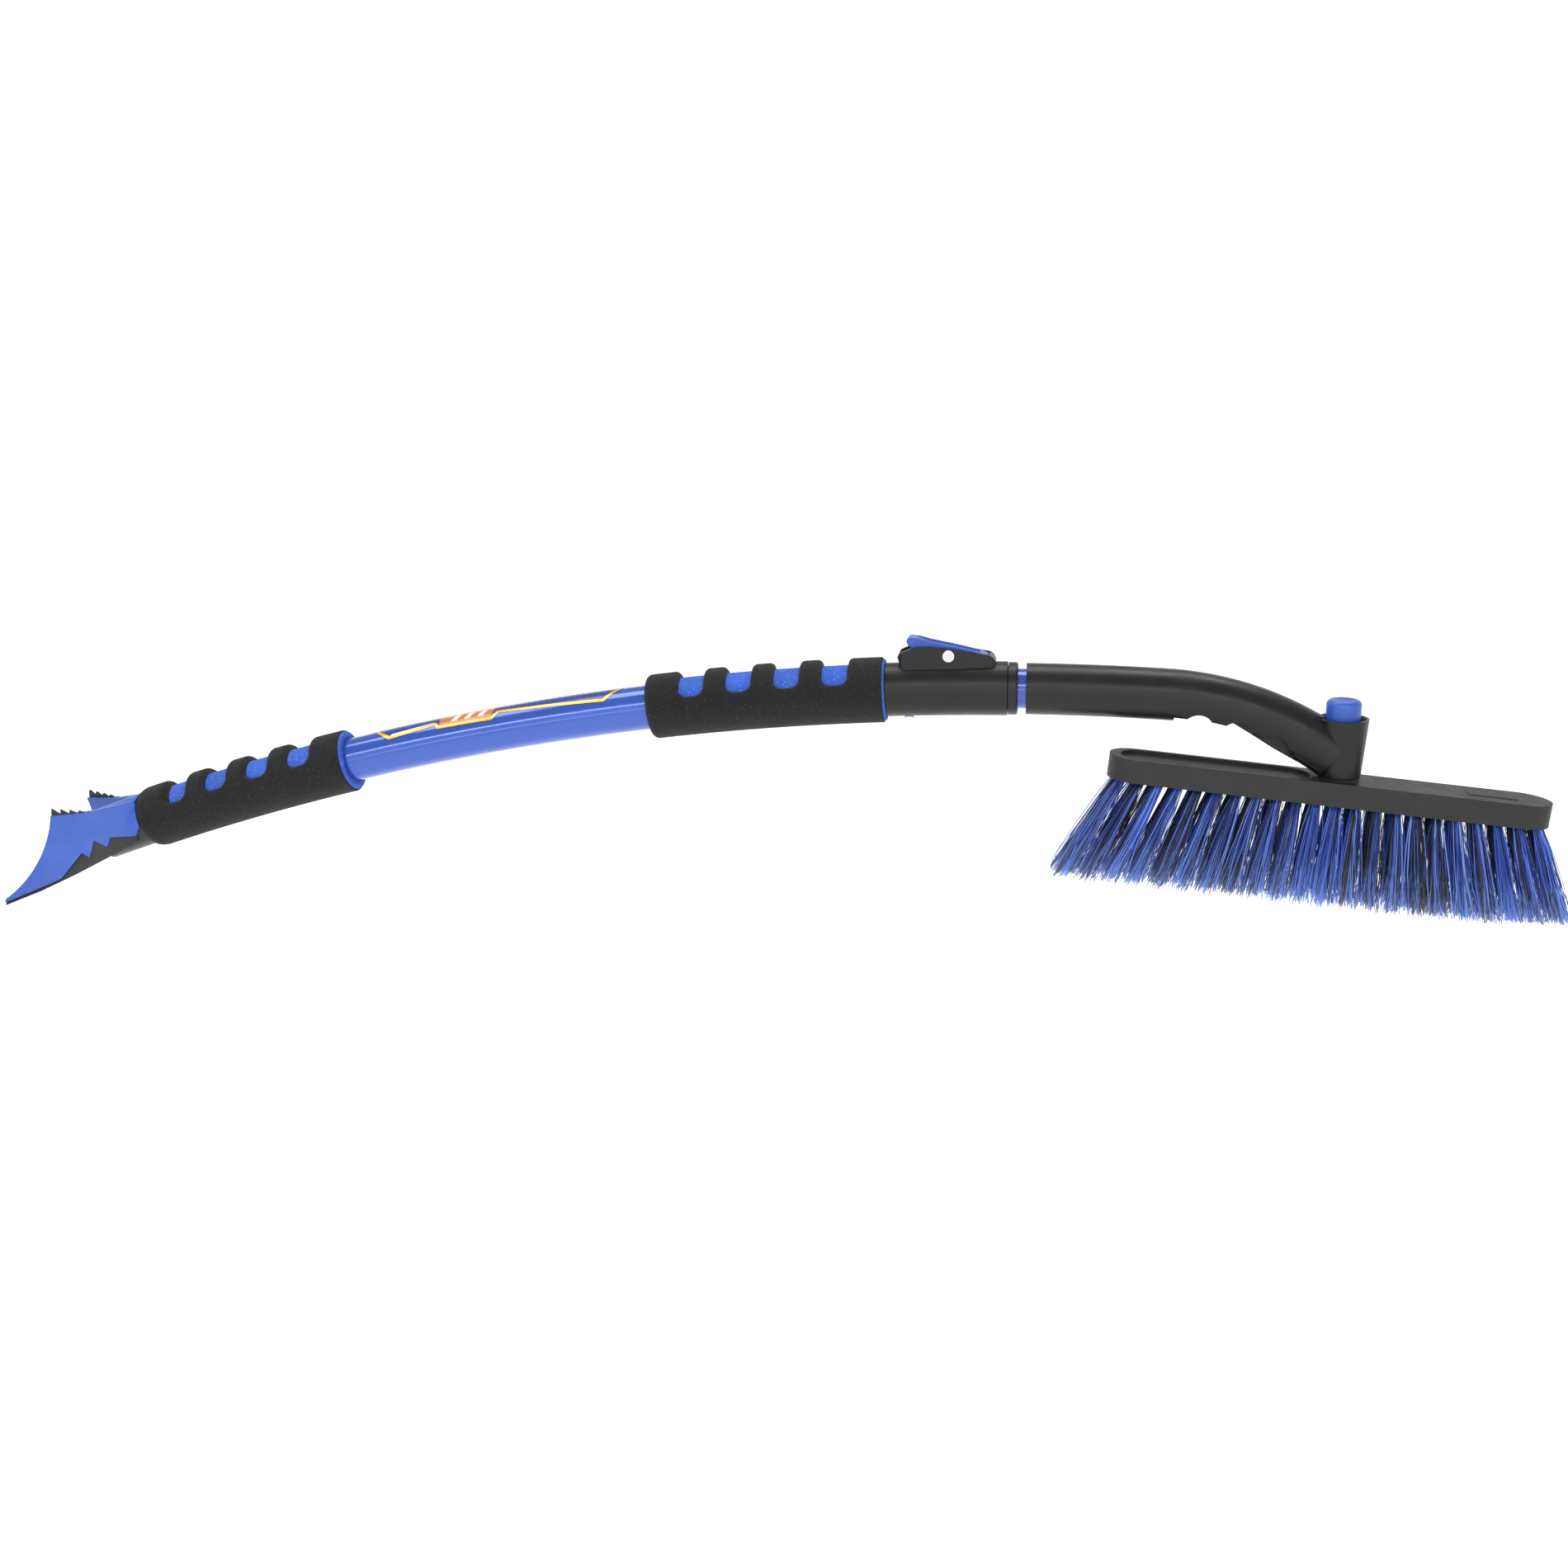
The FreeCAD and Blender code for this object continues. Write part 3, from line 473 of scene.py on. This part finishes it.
def sleeve(name, stations, radius, inner, material):
    """Closed sleeve round the handle."""
    turns = [2 * math.pi * index / RING_POINTS for index in range(RING_POINTS)]
    turns = [turn - 2 * math.pi if turn > math.pi else turn for turn in turns]
    points = [arc_point(stations[0], inner, turn) for turn in turns]
    for station in stations:
        points += [arc_point(station, radius(station, turn), turn) for turn in turns]
    points += [arc_point(stations[-1], inner, turn) for turn in turns]
    faces = grid_faces(len(stations) + 2, RING_POINTS, True, True)
    return add_piece(name, points, faces, material, "handle")


def grip(side, left_round):
    """Black foam cover and the blue core under it."""
    low, high = stations_of(f"{side}_grip_cover")
    cover = sleeve(
        f"{side}_grip_foam",
        spaced(low, high, COVER_STEP, COVER_FINE_END),
        lambda station, turn: cover_radius(station, turn, low, high, left_round),
        CORE_RADIUS - COVER_UNDERLAP,
        MATERIALS["black_foam"],
    )
    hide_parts(f"{side}_grip_cover")
    core_low, core_high = stations_of(f"{side}_grip_core")
    core_rings = spaced(core_low, high, CORE_STEP, CORE_FINE_END)
    core_rings += spaced(high + FLANGE_GAP, core_high, FLANGE_STEP, 0)
    core = sleeve(
        f"{side}_grip_core_foam",
        core_rings,
        lambda station, turn: core_radius(station, core_high, high + FLANGE_GAP / 2),
        radii_of(f"{side}_grip_core")[0],
        MATERIALS["blue_foam"],
    )
    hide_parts(f"{side}_grip_core")


GRIP_RADIUS = radii_of("upper_grip_cover")[1]
CORE_RADIUS = radii_of("upper_grip_cover")[0]
FLANGE_RADIUS = radii_of("upper_grip_core")[1]


# ---- printed decal ---------------------------------------------------------------------
FILM = 0.03 * MM                  # how far each printed layer stands above the one below it
PATCH_CELLS = 10                  # quads along each side of a patch


def film_patch(corners, layer):
    """Thin closed patch on the tube between four (station, turn) corners, in order."""
    radius = TUBE_RADIUS + layer * FILM
    points = []
    for height in (0.0, FILM):
        for row in range(PATCH_CELLS + 1):
            for column in range(PATCH_CELLS + 1):
                u, v = row / PATCH_CELLS, column / PATCH_CELLS
                station, turn = (
                    (1 - u) * (1 - v) * corners[0][axis]
                    + u * (1 - v) * corners[1][axis]
                    + u * v * corners[2][axis]
                    + (1 - u) * v * corners[3][axis]
                    for axis in (0, 1)
                )
                points.append(arc_point(station, radius + height, turn))
    side = PATCH_CELLS + 1
    top = side * side
    sheet = grid_faces(side, side, False, False)
    faces = [tuple(reversed(face)) for face in sheet]
    faces += [tuple(index + top for index in face) for face in sheet]
    rim = list(range(side))
    rim += [row * side + PATCH_CELLS for row in range(1, side)]
    rim += [PATCH_CELLS * side + column for column in range(PATCH_CELLS - 1, -1, -1)]
    rim += [row * side for row in range(PATCH_CELLS - 1, 0, -1)]
    for start, end in zip(rim, rim[1:] + rim[:1]):
        faces.append((start, end, end + top, start + top))
    return points, faces


def joined(name, patches, material):
    """One piece made of several patches."""
    points, faces = [], []
    for patch_points, patch_faces in patches:
        start = len(points)
        points += patch_points
        faces += [tuple(index + start for index in face) for face in patch_faces]
    return add_piece(name, points, faces, material, "handle", smooth=False)


def mm_deg(pairs):
    """(station, turn) pairs given in millimetres and degrees."""
    return [(station * MM, math.radians(turn)) for station, turn in pairs]


SHARPEST_MITRE = 0.35             # keeps sharp corners from running out to long points


def stroke(line, half_width):
    """Corners of the patches that draw a bent line of even width."""
    def normal(start, end):
        along = Vector((end[0] - start[0], (end[1] - start[1]) * TUBE_RADIUS)).normalized()
        return Vector((-along.y, along.x))

    sides = []
    for index, (station, turn) in enumerate(line):
        normals = []
        if index > 0:
            normals.append(normal(line[index - 1], line[index]))
        if index < len(line) - 1:
            normals.append(normal(line[index], line[index + 1]))
        mitre = (normals[0] + normals[-1]).normalized()
        reach = half_width / max(SHARPEST_MITRE, mitre.dot(normals[0]))
        sides.append([
            (station + sign * mitre.x * reach, turn + sign * mitre.y * reach / TUBE_RADIUS)
            for sign in (-1, 1)
        ])
    return [(a[0], b[0], b[1], a[1]) for a, b in zip(sides, sides[1:])]


def mirrored(corners):
    """The same patch on the other side of the tube's top."""
    return [(station, -turn) for station, turn in corners]


TUBE_RADIUS = radii_of("outer_tube")[1]
OUTLINE = mm_deg([
    (-363.0, 0.0), (-361.0, -17.6), (-353.9, -45.7), (-325.3, -31.4), (-323.6, -44.7),
    (-291.0, -48.0), (-287.1, -28.3), (-224.2, -46.0), (-216.0, -8.1), (-214.4, 0.0),
])
PANEL = mm_deg([(-323.0, 0.0), (-289.0, 0.0), (-291.6, -44.5), (-322.6, -41.5)])
WEDGE = mm_deg([(-352.5, -35.0), (-352.8, -42.5), (-326.0, -29.0), (-326.0, -24.5)])
LEFT_BAND = mm_deg([(-361.0, 0.0), (-323.0, 0.0), (-324.5, -28.0), (-353.5, -37.0)])
RIGHT_BAND = mm_deg([(-289.0, 0.0), (-216.5, 0.0), (-224.6, -41.0), (-287.5, -26.0)])
OUTLINE_HALF = 1.0 * MM           # half width of the foil line
SHADOW_HALF = 1.35 * MM           # half width of the dark line under it


def decal():
    """Foil outline, panel, wedge and rows of dashes, the same on both sides of the top."""
    layers = [
        ("decal_bands", 0, "navy", [LEFT_BAND, RIGHT_BAND]),
        ("decal_panel", 1, "orange", [PANEL]),
        ("decal_wedge", 1, "pale", [WEDGE]),
        ("decal_shadow_line", 1, "ink", stroke(OUTLINE, SHADOW_HALF)),
        ("decal_outline", 2, "gold", stroke(OUTLINE, OUTLINE_HALF)),
        ("decal_chevrons", 2, "pale", chevrons()),
        ("decal_dashes", 1, "painted_tube", dashes()),
    ]
    for name, layer, material, patches in layers:
        sides = patches + [mirrored(patch) for patch in patches]
        built = [film_patch(corners, layer) for corners in sides]
        joined(name, built, MATERIALS[material])
    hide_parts("tube_decal")


def slanted_bar(start, width, slant, top, bottom):
    """Corners of one bar that leans to the left, in millimetres and degrees."""
    return mm_deg([
        (start, top),
        (start + width, top),
        (start + width - slant, bottom),
        (start - slant, bottom),
    ])


def chevrons():
    """Three plain slanted bars on the panel."""
    return [slanted_bar(start, 3.4, 2.8, -9.0, -33.0) for start in (-313.0, -305.0, -297.0)]


DASH_PITCH = 3.6                  # millimetres, as are the stations below; turns in degrees
DASH_ROWS = (                     # first station, last station and the turns of its rows
    (-352.0, -328.0, (-6.0, -13.0, -19.0)),
    (-282.0, -223.0, (-6.0, -13.0, -21.0)),
)


def dashes():
    """Rows of short slanted dashes along the dark bands."""
    found = []
    for first, last, turns in DASH_ROWS:
        place = first
        while place < last:
            found += [slanted_bar(place, 2.0, 0.6, turn, turn - 4.0) for turn in turns]
            place += DASH_PITCH
    return found


# ---- bristles --------------------------------------------------------------------------
BLOCK_TILT = math.radians(6.0)
FILAMENTS = 84                    # in each tuft
FILAMENT_HALF = 0.25 * MM
FILAMENT_TAPER = 0.35             # how much thinner a filament is at its tip
FILAMENT_STEPS = (0.0, 0.3, 0.62, 0.86, 1.0)
REACH_LOW = 1.04                  # the filaments end a little past the solid tufts
REACH_HIGH = 1.13
REACH_BEYOND = Vector((5, 2, 0)) * MM
GOLDEN_ANGLE = 2.39996
TURN_JITTER = 0.3                 # radians
TIP_FAN = 1.05                    # how far a filament keeps its place in the tuft, at the tip
TIP_SCATTER = (0.42, 0.2)         # spread of the tips along and across the row, in tip radii
BOW = (1.2 * MM, 0.9 * MM)        # spread of the filaments' bends, at their middles
FLICK = (1.4 * MM, 1.0 * MM)      # spread of the curl at their tips
ROOT_SLICE = 0.2 * MM             # depth of the slices that give a tuft's root and tip
TIP_SLICE = 3.0 * MM
FIRST_SEED = 40


def islands(node):
    """Points of each separate solid of a node."""
    work = bmesh.new()
    work.from_mesh(NODES[node].data)
    bmesh.ops.remove_doubles(work, verts=work.verts, dist=0.002 * MM)
    seen = set()
    found = []
    for first in work.verts:
        if first.index in seen:
            continue
        seen.add(first.index)
        stack = [first]
        group = []
        while stack:
            vertex = stack.pop()
            group.append(vertex.co.copy())
            for edge in vertex.link_edges:
                other = edge.other_vert(vertex)
                if other.index not in seen:
                    seen.add(other.index)
                    stack.append(other)
        found.append(group)
    work.free()
    return found


def mean(points):
    """Middle of some points."""
    return sum(points, Vector()) / len(points)


def tuft_lines(node):
    """Centre and radius of each tuft where it leaves the block, and at its tip."""
    level = Matrix.Rotation(-BLOCK_TILT, 3, "Y")
    back = level.inverted()
    found = []
    for group in islands(node):
        local = [level @ point for point in group]
        top = max(point.z for point in local)
        root_ring = [point for point in local if point.z > top - ROOT_SLICE]
        root = mean(root_ring)
        root_radius = max((point - root).length for point in root_ring)
        low = min(point.z for point in local)
        tip_ring = [point for point in local if point.z < low + TIP_SLICE]
        tip = mean(tip_ring)
        tip_radius = max(abs(point.y - tip.y) for point in local)
        found.append((back @ root, root_radius, back @ tip, tip_radius))
    return found


def filament(points, radius, shine, verts, faces, along, tone):
    """Adds one thin four-sided strand through these points."""
    start = len(verts)
    direction = (points[-1] - points[0]).normalized()
    side = direction.cross(Vector((0, 1, 0.2))).normalized()
    other = direction.cross(side)
    for step, point in zip(FILAMENT_STEPS, points):
        size = radius * (1.0 - FILAMENT_TAPER * step)
        for way in (side, other, -side, -other):
            verts.append(point + way * size)
        along += [step] * 4
        # the strand's random tone, drawn as painted highlight near its top
        tone += [shine] * 4
    for ring in range(len(points) - 1):
        base = start + ring * 4
        for corner in range(4):
            after = (corner + 1) % 4
            faces.append((base + corner, base + after, base + 4 + after, base + 4 + corner))
    last = start + (len(points) - 1) * 4
    faces.append((start + 3, start + 2, start + 1, start))
    faces.append((last, last + 1, last + 2, last + 3))


def scatter(rng, spread):
    """A random level offset with these spreads along and across the row."""
    return Vector((rng.gauss(0, spread[0]), rng.gauss(0, spread[1]), 0))


def strands(rng, root, root_radius, tip, tip_radius, floor):
    """Points along every filament of one tuft, none lower than the floor."""
    for index in range(FILAMENTS):
        ring = math.sqrt((index + 0.5) / FILAMENTS)
        turn = index * GOLDEN_ANGLE + rng.uniform(-TURN_JITTER, TURN_JITTER)
        at_root = Vector((math.cos(turn), math.sin(turn), 0)) * ring
        spread = at_root * TIP_FAN + scatter(rng, TIP_SCATTER)
        start = root + at_root * (root_radius - 0.1 * MM)
        end = tip + spread * tip_radius
        share = min(rng.uniform(REACH_LOW, REACH_HIGH), (start.z - floor) / (start.z - end.z))
        end = start.lerp(end, share)
        bow = scatter(rng, BOW)
        flick = scatter(rng, FLICK)
        yield [
            start.lerp(end, step) + bow * math.sin(math.pi * step) + flick * step ** 4
            for step in FILAMENT_STEPS
        ]


def clipped(points, low, high):
    """The points, kept inside the bristles' own box."""
    return [
        Vector(min(max(value, least), most) for value, least, most in zip(point, low, high))
        for point in points
    ]


def bristle_row(side, seed):
    """Blue and black filaments in place of one row of tufts."""
    node = f"tuft_row_{side}"
    rng = random.Random(seed)
    margin = Vector((1, 1, 1)) * FILAMENT_HALF
    low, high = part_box(node)
    low = low + margin - REACH_BEYOND
    high = high - margin + REACH_BEYOND
    meshes = {"blue": ([], [], [], []), "black": ([], [], [], [])}
    for root, root_radius, tip, tip_radius in tuft_lines(node):
        share = rng.uniform(0.40, 0.80)
        for points in strands(rng, root, root_radius, tip, tip_radius, low.z):
            colour = "blue" if rng.random() < share else "black"
            size = FILAMENT_HALF * rng.uniform(0.7, 1.2)
            # random tone per strand; the highest values are painted highlight
            filament(clipped(points, low, high), size, rng.random(), *meshes[colour])
    for colour, (points, faces, along, tone) in meshes.items():
        material = MATERIALS[f"bristle_{colour}"]
        piece = add_piece(f"bristles_{side}_{colour}", points, faces, material, "brush_head")
        for label, values in (("along", along), ("tone", tone)):
            layer = piece.data.attributes.new(label, "FLOAT", "POINT")
            layer.data.foreach_set("value", values)
        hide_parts(node)


def spring(node, body):
    """A copy of a spring that rides on a body, in place of the CAD node."""
    coil = bpy.data.objects.new(f"{node}_coil", NODES[node].data.copy())
    bpy.context.scene.collection.objects.link(coil)
    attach(coil, body)
    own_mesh(coil)
    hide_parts(node)


def springs():
    """The springs under the release button and the lock lever."""
    lean = tuple(joint_named("button_press")["axis"])
    spring("button_spring", "arm")
    spring("lever_spring", "handle")


# ---- camera, floor and light -----------------------------------------------------------
VIEW_TURN = math.radians(8.0)
VIEW_RISE = math.radians(14.0)
VIEW_ROLL = math.radians(1.05)
VIEW_TARGET = Vector((0.0127, 0.0, 0.0685))
VIEW_DISTANCE = 1.06
LENS = 42.63                      # focal length and sensor width in millimetres
SENSOR = 36.0


def add_camera():
    """Camera turned to the brush's side, raised and slightly rolled."""
    right = Vector((math.cos(VIEW_TURN), math.sin(VIEW_TURN), 0))
    back = Vector((
        math.sin(VIEW_TURN) * math.cos(VIEW_RISE),
        -math.cos(VIEW_TURN) * math.cos(VIEW_RISE),
        math.sin(VIEW_RISE),
    ))
    up = back.cross(right)
    roll = Matrix.Rotation(VIEW_ROLL, 3, "Y")
    right, up, back = roll @ right, roll @ up, roll @ back
    camera = bpy.data.objects.new("camera", bpy.data.cameras.new("camera"))
    camera.data.lens = LENS
    camera.data.sensor_width = SENSOR
    camera.data.clip_start = 0.01
    place = Matrix((right, up, back)).transposed().to_4x4()
    place.translation = VIEW_TARGET + back * VIEW_DISTANCE
    camera.matrix_world = place
    bpy.context.scene.collection.objects.link(camera)
    bpy.context.scene.camera = camera


FLOOR_GLOW = 0.36                 # near the tool
WALL_GLOW = 0.52                  # far off, where the lights hardly reach
FLOOR_DEPTH = 0.125               # below the tool: room for the brush when the handle is pulled out
FLOOR_FLAT = 3.0                  # radius of the dish's flat middle
FLOOR_RISE = 3.0                  # radius of its rounded rim
RIM_STEPS = 12
FLOOR_SIDES = 96


def floor_profile():
    """Distance from the middle and height of each ring of the dish."""
    profile = [(FLOOR_FLAT, 0.0)]
    for index in range(1, RIM_STEPS + 1):
        angle = math.pi / 2 * index / RIM_STEPS
        profile.append((FLOOR_FLAT + FLOOR_RISE * math.sin(angle), FLOOR_RISE * (1 - math.cos(angle))))
    return profile


def floor_paper():
    """Matt white paper that glows a little, more so far from the lights."""
    shader = Shader("floor_paper")
    pulp = shader.noise(scale=6.0, detail=2.0)
    tone = shader.ramp(pulp, [(0.3, (0.86, 0.86, 0.86)), (0.7, (0.88, 0.88, 0.88))])
    rough = shader.between(shader.noise(scale=40.0, detail=2.0), 0.3, 0.7, start=0.85, end=0.95)
    away = shader.nodes.new("ShaderNodeVectorMath")
    away.operation = "LENGTH"
    shader.link(shader.place, away.inputs[0])
    glow = shader.between(away.outputs["Value"], 1.5, 3.5, FLOOR_GLOW, WALL_GLOW)
    shader.link(glow, shader.surface.inputs["Emission Strength"])
    shader.set({"Emission Color": (1.0, 1.0, 1.0, 1.0)})
    return shader.finish(tone, rough)


def add_floor():
    """Wide pale dish: flat under the tool, rising far off on every side."""
    profile = floor_profile()
    points = [Vector((0, 0, -FLOOR_DEPTH))]
    for distance, height in profile:
        for index in range(FLOOR_SIDES):
            turn = 2 * math.pi * index / FLOOR_SIDES
            x, y = distance * math.cos(turn), distance * math.sin(turn)
            points.append(Vector((x, y, height - FLOOR_DEPTH)))
    faces = []
    for index in range(FLOOR_SIDES):
        after = (index + 1) % FLOOR_SIDES
        faces.append((0, 1 + index, 1 + after))
        for ring in range(len(profile) - 1):
            start = 1 + ring * FLOOR_SIDES
            outer = start + FLOOR_SIDES
            faces.append((start + index, outer + index, outer + after, start + after))
    mesh = bpy.data.meshes.new("floor")
    mesh.from_pydata(points, [], faces)
    mesh.polygons.foreach_set("use_smooth", [True] * len(mesh.polygons))
    mesh.materials.append(floor_paper())
    floor = bpy.data.objects.new("floor", mesh)
    bpy.context.scene.collection.objects.link(floor)


def add_light(name, place, size, power, target):
    """Soft rectangular light, aimed at a point."""
    data = bpy.data.lights.new(name, "AREA")
    data.shape = "RECTANGLE"
    data.size, data.size_y = size
    data.energy = power
    light = bpy.data.objects.new(name, data)
    light.location = place
    light.rotation_mode = "QUATERNION"
    light.rotation_quaternion = (Vector(place) - Vector(target)).to_track_quat("Z", "Y")
    bpy.context.scene.collection.objects.link(light)


WORLD_STRENGTH = 0.42


def add_lights():
    """Soft light from above and in front, and an even white world."""
    middle = (0.0, 0.0, 0.09)
    add_light("overhead", place=(-0.15, 0.35, 1.5), size=(2.4, 0.6), power=20.0, target=middle)
    add_light("front_strip", place=(0.0, -1.25, 0.85), size=(2.4, 0.14), power=8.0, target=middle)
    add_light("front_low", place=(0.2, -1.6, 0.25), size=(2.6, 0.25), power=3.0, target=middle)
    world = bpy.data.worlds.new("studio")
    world.use_nodes = True
    background = world.node_tree.nodes["Background"]
    background.inputs["Color"].default_value = (1.0, 1.0, 1.0, 1.0)
    background.inputs["Strength"].default_value = WORLD_STRENGTH
    bpy.context.scene.world = world
    bpy.context.scene.view_settings.view_transform = "Standard"


add_camera()
add_floor()
add_lights()
paint_cad_nodes()
grip("lower", LOWER_END_ROUND)
grip("upper", UPPER_END_ROUND)
decal()
springs()
for number, row_side in enumerate(("near", "middle", "far")):
    bristle_row(row_side, FIRST_SEED + number)
